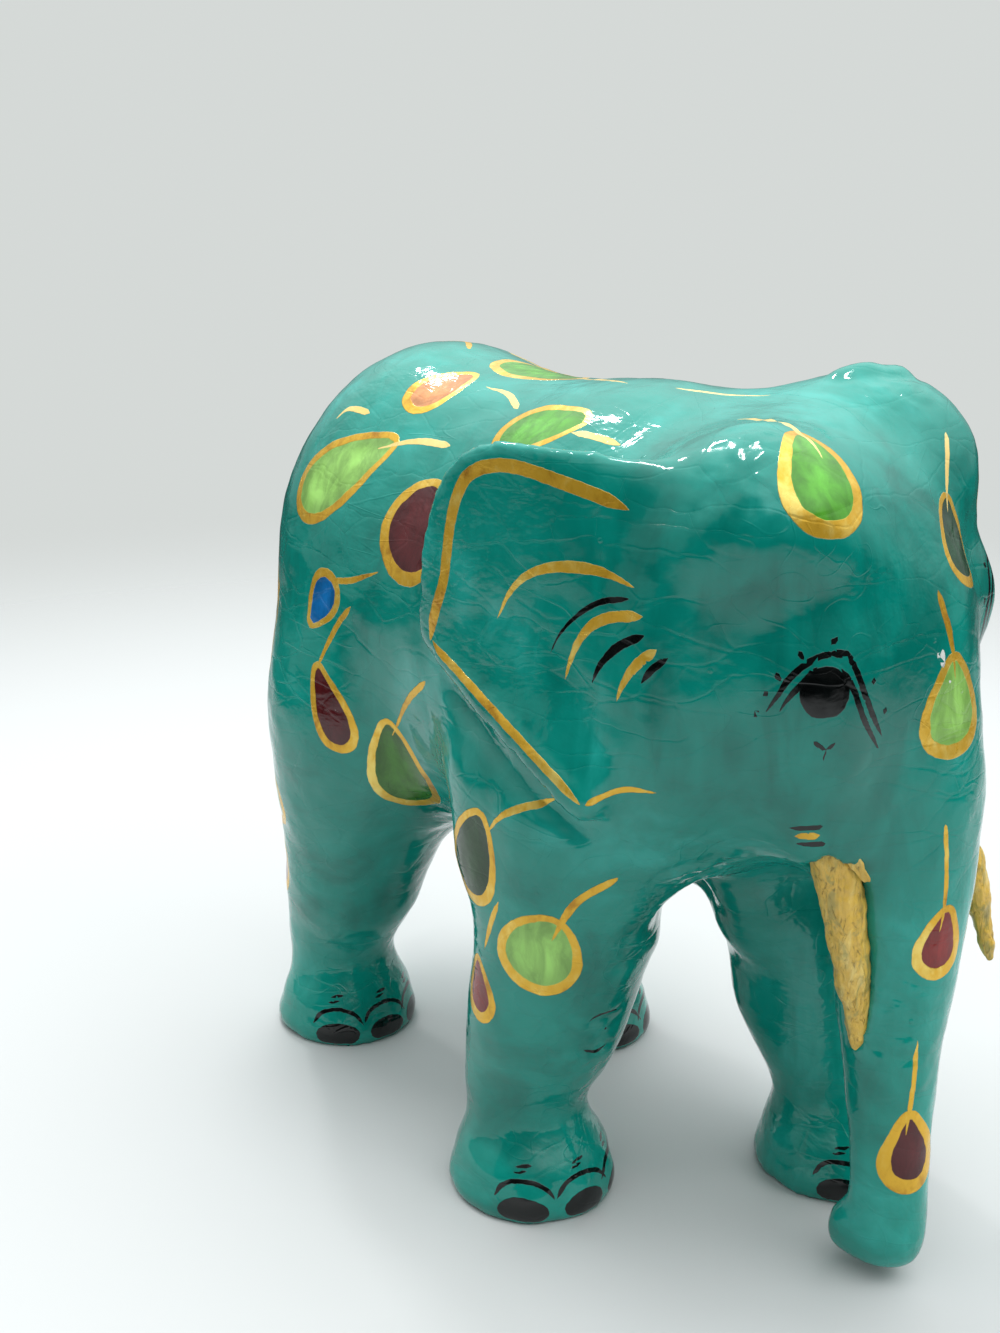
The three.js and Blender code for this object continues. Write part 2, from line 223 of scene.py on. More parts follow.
# Feet spread where they meet the ground.
FEET = [(-73, -52), (76, -140), (-57, 169), (60, 69)]
FOOT_RADIUS = 37
for x, y in FEET:
    ring = [(x + FOOT_RADIUS * math.sin(t), y + FOOT_RADIUS * math.cos(t), 4)
            for t in np.linspace(0, 6.2832, 25)]
    FORMS.append((ring, 16, 4.0))
# Folds in the paper: a line, how wide and how deep.
FOLDS = [
    ([(-41, -138, 203), (-30, -150, 222), (-10, -163, 233)], 7, -2.0),
    ([(-46, -144, 210), (-36, -156, 230), (-18, -168, 242)], 6, 1.4),
    ([(-60, -138, 214), (-44, -150, 226)], 5, -1.2),
    ([(-62, -140, 210), (-36, -152, 221), (0, -170, 240)], 5, 1.8),
    ([(-54, -150, 229), (-20, -168, 245)], 4.5, -1.6),
    ([(-34, -132, 196), (-12, -148, 216), (8, -158, 226)], 6, -1.8),
    ([(-76, -103, 120), (-57, -104, 122)], 6, -1.4),
    ([(-77, -99, 103), (-61, -100, 101)], 6, -1.2),
    ([(-86, -94, 66), (-64, -98, 60), (-44, -84, 66)], 7, -1.2),
    ([(3, -219, 157), (18, -232, 152), (34, -226, 156)], 6, -1.0),
    ([(2, -220, 133), (16, -236, 129), (32, -230, 132)], 6, -1.0),
    ([(-88, -128, 262), (-70, -150, 250)], 6, -1.2),
    ([(-74, -40, 176), (-96, -62, 170), (-100, -90, 176)], 7, -0.9),
]
# Where the paper is crinkled most, and how far around.
CRINKLED = [
    ([(-50, -176, 430), (-62, -196, 418), (-78, -190, 404)], 34),
    ([(-40, -160, 434), (-12, -168, 432)], 24),
    ([(52, -168, 441), (66, -160, 440)], 26),
    ([(-41, -138, 203), (-20, -156, 232), (6, -170, 244)], 26),
    ([(-92, -120, 236), (-60, -140, 226)], 22),
    ([(-78, -100, 108), (-60, -96, 66)], 30),
    ([(-66, 20, 172), (-30, 60, 166), (20, 60, 168)], 40),
    ([(8, -226, 150), (20, -230, 110)], 26),
]
LUMPS = cloud("lumps", 46)
DENTS = cloud("dents", 17)
CRINKLES = cloud("crinkles", 8, 1)


def press(piece, texture, rise, mid_level=0.5, **values):
    """Presses a texture into the skin; rise is from its darkest to its lightest."""
    finish_with(piece, "DISPLACE", texture=texture, texture_coords="LOCAL",
                strength=rise * MM, mid_level=mid_level, **values)


def smooth_along(piece, name, lines):
    for number, (line, reach, rounds) in enumerate(lines):
        share = near_line(places(piece), line, reach) ** 0.5
        group = weigh(piece, "%s_%d" % (name, number), share)
        finish_with(piece, "SMOOTH", factor=0.5, iterations=rounds, vertex_group=group)


def make_body():
    body = merged_copy("body", "painted_body")
    finish_with(body, "SUBSURF", levels=2, render_levels=2)
    finish_with(body, "REMESH", mode="VOXEL", voxel_size=SKIN_STEP * MM, use_smooth_shade=True)
    finish_with(body, "SMOOTH", factor=0.5, iterations=SKIN_SMOOTHING)
    smooth_along(body, "ear_root", EAR_ROOTS)
    for line, reach, rise in FORMS + FOLDS:
        swell(body, line, reach, rise)
    crinkled = [near_line(places(body), line, reach) for line, reach in CRINKLED]
    group = weigh(body, "crinkled", np.minimum(np.max(crinkled, axis=0) * 1.6, 1))
    press(body, LUMPS, LUMP_RISE, mid_level=0.5 - SHRINK / LUMP_RISE)
    press(body, DENTS, DENT_RISE)
    press(body, CRINKLES, CRINKLE_RISE, vertex_group=group)
    smooth_along(body, "ear_edge", EAR_EDGES)
    finish_with(body, "DECIMATE", ratio=THINNED)
    flatten_soles(body)
    return body


def flatten_soles(body, just_over=3):
    """What lies below the ground, or just over it under a foot, comes to the ground."""
    points = places(body)
    height = points[:, 2]
    facing_down = normals(body)[:, 2] < -0.8
    points[:, 2] = np.where(facing_down & (height < just_over), 0, np.maximum(height, 0))
    put_places(body, points)


body = make_body()

# ---------------------------------------------------------------- painted marks
# Marks are laid on the finished skin and kept as attributes of its mesh.
skin = BVHTree.FromObject(body, bpy.context.evaluated_depsgraph_get())
body_places = places(body)
body_normals = normals(body)
UNPAINTED = 30.0                # stands for a place that no mark reaches


def keep_as(name, kind, where, field, values):
    """Keeps values on the body's mesh, for its material to read."""
    attribute = body.data.attributes.new(name, kind, where)
    attribute.data.foreach_set(field, values.ravel())


def onto(place):
    """The nearest place on the skin, and the skin's direction there."""
    found, normal, _, _ = skin.find_nearest(Vector(place) * MM)
    return np.array(found) / MM, np.array(normal)


def looked_at(start, way):
    """The place on the skin that shows along a straight look, or the nearest one beside it."""
    start, way = Vector(start), Vector(way)
    found, _, _, _ = skin.ray_cast(start * MM, way)
    if found is None:
        found, _, _, _ = skin.find_nearest((start + way * start.length) * MM)
    return tuple(np.array(found) / MM)


# Each look starts well outside the body.
def side_on(side, y, z):
    return looked_at((side * 300, y, z), (-side, 0, 0))


# Drops: a pear-shaped fill with a ring round it.
drop_depth = np.full(len(body_places), UNPAINTED)    # beyond the fill's edge
drop_along = np.zeros(len(body_places))              # from the middle to the tip, as a share
drop_ring = np.zeros(len(body_places))
drop_fill = np.tile([0.0, 0.0, 0.0, 1.0], (len(body_places), 1))
DROP_REACH = 26                 # how far round a drop the distance to its edge is kept


def pear(point, flat, sides=64):
    """An outline of unit size: +Y is the tip, which gets sharper as point grows."""
    turns = np.linspace(0, 2 * math.pi, sides, endpoint=False)
    across = np.sin(turns) * (1 - point * np.cos(turns))
    along = np.maximum(np.cos(turns), -flat)
    return np.stack([across / np.abs(across).max(), along], axis=1)


def edge_distance(points, outline):
    """Signed distance from each flat point to a closed outline, negative inside."""
    starts, ends = outline, np.roll(outline, -1, axis=0)
    best = np.full(len(points), np.inf)
    inside = np.zeros(len(points), bool)
    for a, b in zip(starts, ends):
        run = b - a
        share = np.clip((points - a) @ run / (run @ run), 0, 1)
        best = np.minimum(best, np.linalg.norm(points - a - share[:, None] * run, axis=1))
        crosses = (a[1] > points[:, 1]) != (b[1] > points[:, 1])
        with np.errstate(divide="ignore", invalid="ignore"):
            cut = (b[0] - a[0]) * (points[:, 1] - a[1]) / (b[1] - a[1]) + a[0]
        inside ^= crosses & (points[:, 0] < cut)
    return np.where(inside, -best, best)


def drop(fill, tip, low, width, ring, point, flat=1.0):
    """A drop from its tip to its low end; point sharpens the tip, and flat cuts the low end."""
    tip, _ = onto(tip)
    low, _ = onto(low)
    centre, facing = onto((tip + low) / 2)
    up = (tip - low) - facing * ((tip - low) @ facing)
    up /= np.linalg.norm(up)
    across = np.cross(up, facing)
    half = np.linalg.norm(tip - low) / 2
    away = body_places - centre
    far = np.linalg.norm(away, axis=1)
    near = np.flatnonzero((far < half + ring + DROP_REACH) & (body_normals @ facing > 0.05))
    flat_at = np.stack([away[near] @ across, away[near] @ up], axis=1)
    flat_at *= (far[near] / np.maximum(np.linalg.norm(flat_at, axis=1), 0.01))[:, None]
    outline = pear(point, flat) * [width / 2, half]
    depth = edge_distance(flat_at, outline)
    better = depth < drop_depth[near]
    chosen = near[better]
    drop_depth[chosen] = depth[better]
    drop_along[chosen] = flat_at[better, 1] / half
    drop_ring[chosen] = ring
    drop_fill[chosen, :3] = fill


# Strokes: each a run of places, an ink, a half width and how its ends thin out.
# The fourth ink is gold drawn paler, a painted highlight, used only for stems on the lit top.
GOLD_INK, BLACK_INK, CHALK_INK, HIGHLIT_GOLD_INK = 1.0, 2.0, 3.0, 4.0
STROKE_STEP = 1.5               # between the places that a stroke is laid through
STROKE_REACH = 9                # a face nearer than this belongs to the stroke
RUN_ON = 20                     # how far a stroke's first and last step are followed straight on
OFF_STROKE = -5                 # a width that leaves a corner bare
strokes = []


def stroke(ink, half, *run, thin=(0.0, 0.0)):
    """thin gives the share of the stroke over which its start and its end thin out."""
    run = [np.array(place, float) for place in run]
    ends = [2 * run[0] - run[1], *run, 2 * run[-1] - run[-2]]
    line = []
    for p0, p1, p2, p3 in zip(ends, ends[1:], ends[2:], ends[3:]):
        count = max(2, int(np.linalg.norm(p2 - p1) / STROKE_STEP))
        for t in np.arange(count) / count:
            line.append(0.5 * (2 * p1 + (p2 - p0) * t + (2 * p0 - 5 * p1 + 4 * p2 - p3) * t ** 2
                               + (3 * p1 - p0 - 3 * p2 + p3) * t ** 3))
    line.append(run[-1])
    snapped = [onto(place) for place in line]
    strokes.append((ink, half, thin, np.array([s[0] for s in snapped]),
                    np.array([s[1] for s in snapped])))


def gold(half, *run, thin=(0.0, 0.0)):
    stroke(GOLD_INK, half, *run, thin=thin)


def black(half, *run, thin=(0.0, 0.0)):
    stroke(BLACK_INK, half, *run, thin=thin)


def width_along(along, total, half, thin):
    """Half a stroke's width at each place along it, with its ends thinned and rounded."""
    share = along / total
    width = half * np.ones(len(along))
    if thin[0]:
        width *= np.clip(share / thin[0], 0, 1) ** 0.7
    if thin[1]:
        width *= np.clip((1 - share) / thin[1], 0, 1) ** 0.7
    cap = np.minimum(along, total - along)
    rounded = half * np.sqrt(np.clip(1 - (1 - np.clip(cap, 0, half) / half) ** 2, 0, 1))
    width = np.where(cap < half, np.minimum(width, rounded), width)
    return np.where(cap < 0, cap, width)


def follow(line, ups, points):
    """How far each point lies aside from a line and along it, with the skin's direction there."""
    runs = np.diff(line, axis=0)
    lengths = np.linalg.norm(runs, axis=1)
    runs /= lengths[:, None]
    before = np.concatenate([[0], np.cumsum(lengths)])
    best = np.full(len(points), np.inf)
    aside = np.zeros(len(points))
    along = np.zeros(len(points))
    up_there = np.zeros((len(points), 3))
    last = len(runs) - 1
    for n, (a, run, length) in enumerate(zip(line, runs, lengths)):
        away = points - a
        share = away @ run
        held = np.clip(share, -RUN_ON if n == 0 else 0, length + RUN_ON if n == last else length)
        rest = away - held[:, None] * run
        gap = np.linalg.norm(rest, axis=1)
        closer = gap < best
        best[closer] = gap[closer]
        side = np.sign(rest @ np.cross(ups[n], run))
        aside[closer] = (gap * side)[closer]
        along[closer] = before[n] + held[closer]
        up_there[closer] = ups[n]
    return aside, along, up_there, before[-1]


def lay_strokes():
    """For each face the nearest stroke, and on its corners where they lie on that stroke."""
    mesh = body.data
    tree = KDTree(sum(len(s[3]) for s in strokes))
    owner = []
    for number, (_, _, _, line, _) in enumerate(strokes):
        for place in line:
            tree.insert(place, len(owner))
            owner.append(number)
    tree.balance()
    centres = read(mesh.polygons, "center", 3) / MM
    facing = read(mesh.polygons, "normal", 3)
    starts = read(mesh.polygons, "loop_start", kind=int)
    totals = read(mesh.polygons, "loop_total", kind=int)
    corner_vertex = read(mesh.loops, "vertex_index", kind=int)
    at = np.tile([UNPAINTED, 0.0, 0.0], (len(mesh.loops), 1))
    ink_of = np.zeros(len(mesh.loops))
    owned = [[] for _ in strokes]
    for face, centre in enumerate(centres):
        _, index, away = tree.find(centre)
        if away < STROKE_REACH:
            owned[owner[index]].append(face)
    for (ink, half, thin, line, ups), faces in zip(strokes, owned):
        if not faces:
            continue
        faces = np.array(faces)
        corners = np.concatenate([np.arange(s, s + t)
                                  for s, t in zip(starts[faces], totals[faces])])
        points = body_places[corner_vertex[corners]]
        aside, along, up_there, total = follow(line, ups, points)
        face_of = np.repeat(faces, totals[faces])
        same_way = (facing[face_of] * up_there).sum(axis=1) > 0.1
        width = np.where(same_way, width_along(along, total, half, thin), OFF_STROKE)
        at[corners, :2] = np.column_stack([aside, width])
        ink_of[corners] = ink
    keep_as("stroke_at", "FLOAT_VECTOR", "CORNER", "vector", at)
    keep_as("stroke_ink", "FLOAT", "CORNER", "value", ink_of)


def keep_drops():
    drop_at = np.column_stack([drop_along, drop_depth, np.zeros(len(drop_depth))])
    keep_as("drop_at", "FLOAT_VECTOR", "POINT", "vector", drop_at)
    keep_as("drop_ring", "FLOAT", "POINT", "value", drop_ring)
    keep_as("drop_fill", "FLOAT_COLOR", "POINT", "color", drop_fill)


# ---------------------------------------------------------------- where the marks go
# The head's own directions: it turns to the elephant's left and tilts.
HEAD_TURN = math.radians(18)
HEAD_TILT = math.radians(-5)
NECK = np.array([0.0, -106.9, 320.0])


def head(right, ahead, up):
    x, y, z = -right, -ahead, up
    x, z = (x * math.cos(HEAD_TILT) + z * math.sin(HEAD_TILT),
            -x * math.sin(HEAD_TILT) + z * math.cos(HEAD_TILT))
    x, y = (x * math.cos(HEAD_TURN) - y * math.sin(HEAD_TURN),
            x * math.sin(HEAD_TURN) + y * math.cos(HEAD_TURN))
    return tuple(NECK + (x, y, z))


def mark_ear(side, back, up):
    """The gold border and the short strokes of one ear."""
    def on_ear(*spots):
        return [side_on(side, y + back, z + up) for y, z in spots]

    gold(3.3, *on_ear((-146, 397), (-133, 402), (-115, 407), (-96, 411), (-80, 410), (-67, 404),
                      (-59, 392), (-54, 376), (-50, 350), (-42, 330), (-39, 318)),
         thin=(0.06, 0.05))
    gold(2.2, *on_ear((-40, 319), (-76, 301), (-102, 286), (-124, 271), (-138, 259)),
         thin=(0.1, 0.1))
    gold(1.7, *on_ear((-139, 259), (-146, 265), (-154, 268), (-164, 268)), thin=(0.1, 0.3))
    gold(2.8, *on_ear((-83, 337), (-92, 353), (-103, 363), (-118, 368), (-134, 368), (-153, 363)),
         thin=(0.6, 0.3))
    black(1.5, *on_ear((-112, 325), (-117, 336), (-125, 346), (-136, 354), (-151, 358)),
          thin=(0.7, 0.1))
    gold(2.6, *on_ear((-120, 314), (-124, 329), (-131, 341), (-142, 348), (-158, 351)),
         thin=(0.6, 0.1))
    black(2.2, *on_ear((-134, 315), (-139, 326), (-148, 336), (-160, 343)), thin=(0.5, 0.15))
    gold(2.4, *on_ear((-148, 309), (-151, 319), (-157, 329), (-165, 337)), thin=(0.6, 0.1))
    black(1.8, *on_ear((-159, 320), (-164, 328), (-170, 334)), thin=(0.4, 0.2))


def mark_face(s):
    """The eye with its brows and lashes, and the marks on the cheek."""
    drop(BLACK, head(s * 80, 97, 23), head(s * 80, 97, -2), 22.5, ring=0.0, point=0.0, flat=0.9)
    black(1.55, head(s * 89, 73, 0), head(s * 88, 78, 8), head(s * 86, 83, 17),
          head(s * 81, 91, 25), head(s * 75, 98, 27.5), thin=(0.4, 0.0))
    black(1.8, head(s * 76, 97, 27.5), head(s * 69, 104, 26), thin=(0.2, 0.2))
    black(1.55, head(s * 70, 103, 26), head(s * 68, 106, 17), head(s * 63, 110, 0),
          head(s * 54, 112, -17), thin=(0.0, 0.3))
    black(1.55, head(s * 88, 79, 1), head(s * 87, 83, 8), head(s * 80, 93, 22), thin=(0.5, 0.1))
    black(1.55, head(s * 74, 101, 21), head(s * 71, 106, 11), head(s * 66, 109, -5),
          head(s * 54, 111, -24), thin=(0.1, 0.4))
    for right, ahead, up, lean, rise in [
            (73, 97, 32, 1.2, 1.8), (65, 105, 27, 1.0, 1.4), (61, 111, 12, 0.2, 1.8),
            (54, 113, -4, 0.4, 2.0), (82, 86, 27, -0.8, 2.2), (87, 78, 17, -0.8, 1.8),
            (89, 73, 9, 1.2, 1.4), (90, 69, -1, 1.2, 2.0)]:
        black(1.4, head(s * (right + lean), ahead - lean, up - rise),
              head(s * (right - lean), ahead + lean, up + rise))
    black(1.1, head(s * 83, 93, -12), head(s * 79, 97, -18), head(s * 79, 96, -23),
          thin=(0.1, 0.3))
    black(1.0, head(s * 76, 101, -13), head(s * 79, 97, -18), thin=(0.3, 0.1))
    black(1.6, head(s * 73, 77, -62), head(s * 69, 92, -60), thin=(0.3, 0.0))
    gold(2.4, head(s * 70, 78, -67), head(s * 68, 90, -65), thin=(0.3, 0.2))
    black(1.6, head(s * 68, 78, -72), head(s * 66, 92, -70), thin=(0.3, 0.0))


mark_ear(-1, 0, 0)
mark_ear(1, -LEFT_EAR_AHEAD, LEFT_EAR_UP)
mark_face(1)
mark_face(-1)


def from_behind(x, z):
    return looked_at((x, 400, z), (0, -1, 0))


def from_above(x, y):
    return looked_at((x, y, 600), (0, 0, -1))


def from_left(y, z):
    return side_on(1, y, z)


def from_right(y, z):
    return side_on(-1, y, z)


SPRIG_RING = 4.6
SPRIG_CURL = 9                  # how far a stem bends aside


def sprig(look, fill, middle, lean, long=46, wide=30, stem=34):
    """A drop with its stem, laid where look shows it; lean turns its tip, in degrees."""
    turn = math.radians(lean)
    tip_way = np.array([math.sin(turn), math.cos(turn)])
    side_way = np.array([tip_way[1], -tip_way[0]])

    def spot(along, aside=0.0):
        return look(*(np.array(middle) + tip_way * along + side_way * aside))

    drop(fill, spot(long / 2), spot(-long / 2), wide, ring=SPRIG_RING, point=0.4)
    gold(1.8, spot(long * 0.28), spot(long / 2 + 4),
         spot(long / 2 + stem * 0.5, SPRIG_CURL * 0.3), spot(long / 2 + stem, SPRIG_CURL),
         thin=(0.5, 0.15))


TOE_REACH = 46                  # from a foot's middle to outside its toes
TOES = [(-42, 29), (3, 27), (43, 26)]    # degrees round from a foot's front, and how wide


def mark_foot(x, y, turned):
    """Black nails at the front of one foot, an arc over each and dashes above."""
    def spot(angle, up):
        turn = math.radians(angle)
        return (x + TOE_REACH * math.sin(turn), y - TOE_REACH * math.cos(turn), up)

    for toe_turn, wide in TOES:
        angle = turned + toe_turn
        drop(BLACK, spot(angle, 17), spot(angle, -1), wide, ring=0.0, point=0.06, flat=0.8)
        black(1.3, spot(angle - 22, 15), spot(angle - 15, 23), spot(angle - 4, 26.5),
              spot(angle + 8, 25.5), spot(angle + 17, 21), spot(angle + 23, 14), thin=(0.1, 0.2))
        black(1.1, spot(angle - 8, 35), spot(angle + 6, 37), thin=(0.4, 0.3))
        black(1.0, spot(angle - 9, 31.5), spot(angle + 2, 33), thin=(0.3, 0.5))


# Head and trunk.
drop(GREEN, (-33, -186, 428), (-45, -217, 397), 32, ring=5.8, point=0.45)
# Stems in the fourth ink are gold with a painted highlight, paler because they lie on top.
stroke(HIGHLIT_GOLD_INK, 2.6, (-26, -142, 428), (-26, -159, 430), (-30, -180, 429), (-35, -203, 419),
       thin=(0.15, 0.7))
drop(PINE, (51, -208, 396), (46, -222, 361), 30, ring=4.0, point=0.4)
stroke(HIGHLIT_GOLD_INK, 1.4, (63, -194, 426), (56, -201, 410), (49, -208, 388), thin=(0.1, 0.4))
drop(LIME, (25, -234, 328), (27, -237, 288), 30, ring=5.2, point=0.5)
gold(2.0, (17, -229, 361), (21, -233, 345), (25, -234, 328), (26, -235, 319), thin=(0.1, 0.6))
drop(RED, (30, -239, 204), (26, -238, 175), 18, ring=4.6, point=0.5)
gold(1.3, (24, -238, 251), (27, -239, 228), (28, -239, 205), (26, -239, 192), thin=(0.1, 0.4))
drop(MAROON, (16, -238, 97), (18, -240, 63), 20, ring=6.0, point=0.6)
gold(1.3, (18, -237, 139), (17, -238, 118), (14, -238, 88), thin=(0.2, 0.3))
stroke(CHALK_INK, 2.6, (14, -233, 333), (18, -234, 329), thin=(0.5, 0.2))
stroke(CHALK_INK, 1.6, (17, -234, 334), (18, -234, 326))
stroke(CHALK_INK, 1.3, (22, -234, 319), (22.6, -234, 317))

# Right side of the back and rump.
drop(SALMON, (-25, 67, 428), (-56, 82, 414), 24, ring=4.4, point=0.35)
# The stems in the fourth ink here are gold with a painted highlight on the lit back.
stroke(HIGHLIT_GOLD_INK, 1.9, (-31, 48, 426), (-33, 26, 425), (-43, 2, 419), thin=(0.5, 0.1))
drop(LIME, (-73, 74, 395), (-97, 134, 356), 35, ring=5.0, point=0.45)
stroke(HIGHLIT_GOLD_INK, 2.2, (-78, 84, 390), (-70, 58, 398), (-66, 30, 398), thin=(0.6, 0.1))
drop(GREEN, (-50, -62, 422), (-62, -6, 408), 28, ring=4.6, point=0.3)
stroke(HIGHLIT_GOLD_INK, 2.1, (-58, -61, 416), (-56, -78, 416), (-55, -95, 414), thin=(0.2, 0.2))
stroke(HIGHLIT_GOLD_INK, 2.1, (-75, 133, 400), (-70, 125, 407), (-69, 106, 407), thin=(0.6, 0.1))
drop(MAROON, (-84, 20, 380), (-96, 33, 336), 45, ring=6.0, point=0.1)
drop(BLUE, (-108, 109, 291), (-105, 92, 318), 20, ring=4.0, point=0.5)
gold(1.8, (-105, 90, 319), (-103, 74, 322), (-100, 50, 331), thin=(0.1, 0.5))
drop(MAROON, (-112, 98, 268), (-107, 79, 226), 20, ring=4.2, point=0.5)
gold(1.9, (-113, 101, 262), (-109, 86, 292), (-104, 72, 308), thin=(0.5, 0.1))
drop(MOSS, (-95, 50, 244), (-72, 59, 190), 33, ring=5.0, point=0.4)
gold(2.0, (-94, 50, 236), (-98, 28, 262), (-102, 3, 282), thin=(0.6, 0.1))
drop(GREEN, (0, 4, 438), (6, 74, 438), 30, ring=4.8, point=0.45)
stroke(HIGHLIT_GOLD_INK, 1.8, (0, 8, 437), (-6, -22, 437), (-13, -50, 436), thin=(0.1, 0.5))
stroke(HIGHLIT_GOLD_INK, 1.3, (-6, -76, 435), (5, -101, 434), (17, -125, 435), thin=(0.2, 0.5))

# Right front leg.
drop(BOTTLE, (-116, -64, 230), (-111, -48, 186), 33, ring=5.0, point=0.35)
gold(2.0, (-112, -68, 222), (-114, -84, 238), (-106, -111, 252), thin=(0.5, 0.2))
drop(LIME, (-101, -105, 184), (-105, -88, 147), 36, ring=5.0, point=0.25)
gold(2.2, (-101, -103, 173), (-96, -115, 196), (-82, -131, 213), thin=(0.35, 0.1))
drop(RED, (-109, -52, 145), (-111, -54, 116), 18, ring=4.6, point=0.5)
gold(1.8, (-110, -60, 154), (-112, -68, 172), (-113, -76, 188), thin=(0.4, 0.2))
black(0.9, (-76, -103, 120), (-70, -105, 124), (-57, -104, 122), thin=(0.3, 0.3))
black(0.9, (-77, -99, 103), (-68, -100, 99), (-61, -100, 101), thin=(0.3, 0.3))
black(1.0, (-66, -102, 115), (-65, -102, 113))

# Right hind leg and flank.
sprig(from_right, LIME, (172, 248), -20)
sprig(from_right, SALMON, (178, 306), 6, long=38, wide=24, stem=24)
sprig(from_right, GREEN, (168, 176), 15, long=44, wide=30)
sprig(from_right, RED, (178, 118), -25, long=34, wide=20, stem=24)

# Left side.
sprig(from_left, LIME, (64, 366), -70, long=56, wide=33)
sprig(from_left, MAROON, (-4, 350), -8, long=46, wide=36, stem=20)
sprig(from_left, BLUE, (128, 322), 18)
sprig(from_left, GREEN, (42, 286), -35, stem=22)
sprig(from_left, SALMON, (176, 286), 8, long=38, wide=24, stem=24)
sprig(from_left, RED, (98, 248), -14, long=42, wide=26)
sprig(from_left, MOSS, (-22, 262), 28, long=44)
sprig(from_left, BLUE, (38, 214), 50, long=36, wide=22, stem=26)
sprig(from_left, LIME, (-138, 196), 12, long=46, wide=34)
sprig(from_left, RED, (-116, 124), -20, long=38, wide=22, stem=28)
sprig(from_left, GREEN, (72, 158), 22, long=42, wide=28)
sprig(from_left, MAROON, (88, 104), -18, long=34, wide=20, stem=22)

# Rump, back and the far side of the head.
sprig(from_behind, GREEN, (-36, 348), -12, stem=26)
sprig(from_behind, BLUE, (-62, 250), 10, long=40, wide=24)
sprig(from_behind, RED, (48, 348), 24, long=42, wide=28)
sprig(from_behind, LIME, (54, 264), -12, stem=22)
sprig(from_behind, MAROON, (-48, 168), 16, long=36, wide=22, stem=24)
sprig(from_above, SALMON, (46, 92), 160, long=40, wide=26)
sprig(from_above, LIME, (52, 12), 200, long=46, wide=28)
sprig(from_above, BLUE, (14, 146), 190, long=36, wide=24, stem=28)
sprig(from_left, GREEN, (-172, 396), 30, long=38, wide=28, stem=22)
sprig(from_left, MAROON, (-216, 216), 6, long=34, wide=18, stem=28)
sprig(from_left, LIME, (-206, 110), -4, long=36, wide=18, stem=28)

for (x, y), turned in zip(FEET, (-1, 0, 2, -3)):
    mark_foot(x, y, turned)

# Tail: two gold rings and dark hairs at the end.
for up in (262, 246):
    gold(1.9, (-9, 240, up), (-6, 245, up), (-1, 247, up), (5, 245, up), (8, 240, up))
for aside in (-5, -1, 3):
    black(0.9, (aside - 5, 238, 232), (aside - 6, 234, 214), (aside - 7, 230, 199),
          thin=(0.4, 0.2))

lay_strokes()
keep_drops()


# ---------------------------------------------------------------- materials
class Nodes:
    """A short way to place shader nodes in one tree."""

    def __init__(self, tree):
        self.tree = tree

    def put(self, kind, inputs=None, **values):
        node = self.tree.nodes.new(kind)
        for name, value in values.items():
            setattr(node, name, value)
        for name, value in (inputs or {}).items():
            self.join(value, node.inputs[name])
        return node

    def join(self, value, socket):
        if isinstance(value, bpy.types.NodeSocket):
            self.tree.links.new(value, socket)
        elif isinstance(value, tuple) and len(value) == 3 and socket.type == "RGBA":
            socket.default_value = (*value, 1.0)
        else:
            socket.default_value = value

    def math(self, what, a, b=0.0, c=0.0):
        return self.put("ShaderNodeMath", {0: a, 1: b, 2: c}, operation=what).outputs[0]

    def mix(self, share, a, b):
        node = self.put("ShaderNodeMix", {"Factor": share}, data_type="RGBA")
        self.join(a, node.inputs[6])
        self.join(b, node.inputs[7])
        return node.outputs[2]

    def blend(self, share, a, b):
        node = self.put("ShaderNodeMix", data_type="FLOAT")
        self.join(share, node.inputs[0])
        self.join(a, node.inputs[2])
        self.join(b, node.inputs[3])
        return node.outputs[0]

    def ramp(self, value, low, high, to_low=0.0, to_high=1.0):
        return self.put("ShaderNodeMapRange", {"Value": value, "From Min": low, "From Max": high,
                                               "To Min": to_low, "To Max": to_high},
                        interpolation_type="SMOOTHSTEP").outputs[0]

    def noise(self, vector, scale, detail=2.0, rough=0.5, distortion=0.0):
        return self.put("ShaderNodeTexNoise", {
            "Vector": vector, "Scale": scale, "Detail": detail, "Roughness": rough,
            "Distortion": distortion}).outputs["Fac"]

    def attribute(self, name):
        return self.put("ShaderNodeAttribute", attribute_name=name, attribute_type="GEOMETRY")

    def mapped(self, vector, scale, rotation=(0, 0, 0)):
        return self.put("ShaderNodeMapping", {
            "Vector": vector, "Scale": scale,
            "Rotation": [math.radians(r) for r in rotation]}).outputs[0]


